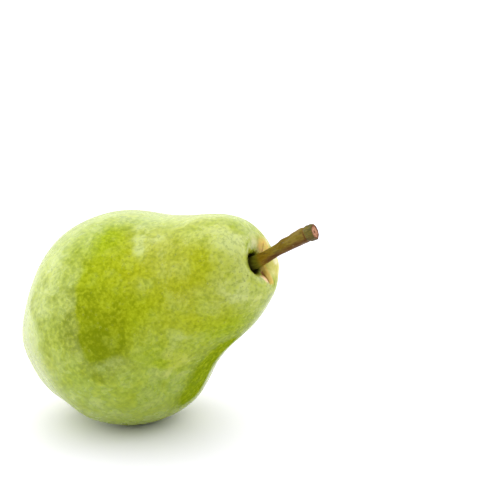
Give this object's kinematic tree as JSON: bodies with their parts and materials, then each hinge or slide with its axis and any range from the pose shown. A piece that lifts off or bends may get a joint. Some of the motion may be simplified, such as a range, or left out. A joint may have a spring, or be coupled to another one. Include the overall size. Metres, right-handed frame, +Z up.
{
  "type": "pear",
  "caption": "Green dessert pear lying on its side, neck raised, with a curved woody stem in its pit and a dried calyx star at the base",
  "frame": {"origin": "centre of the bounding box in X and Y, at the height of the surface that the pear lies on", "axes": "+Z up; +X the way the neck and the stem point, the longest side; -Y the side seen in the picture"},
  "size_m": [0.1062, 0.0772, 0.0817],
  "materials": {
    "skin": "satin yellow-green pear skin, mottled, with tiny lenticels",
    "stem_bark": "dull olive-brown bark with a paler cut end",
    "dry_calyx": "dull dark brown, dry and papery"
  },
  "bodies": {
    "root": {"pear_body": "skin", "stem": "stem_bark", "calyx": "dry_calyx"}
  },
  "joints": []
}
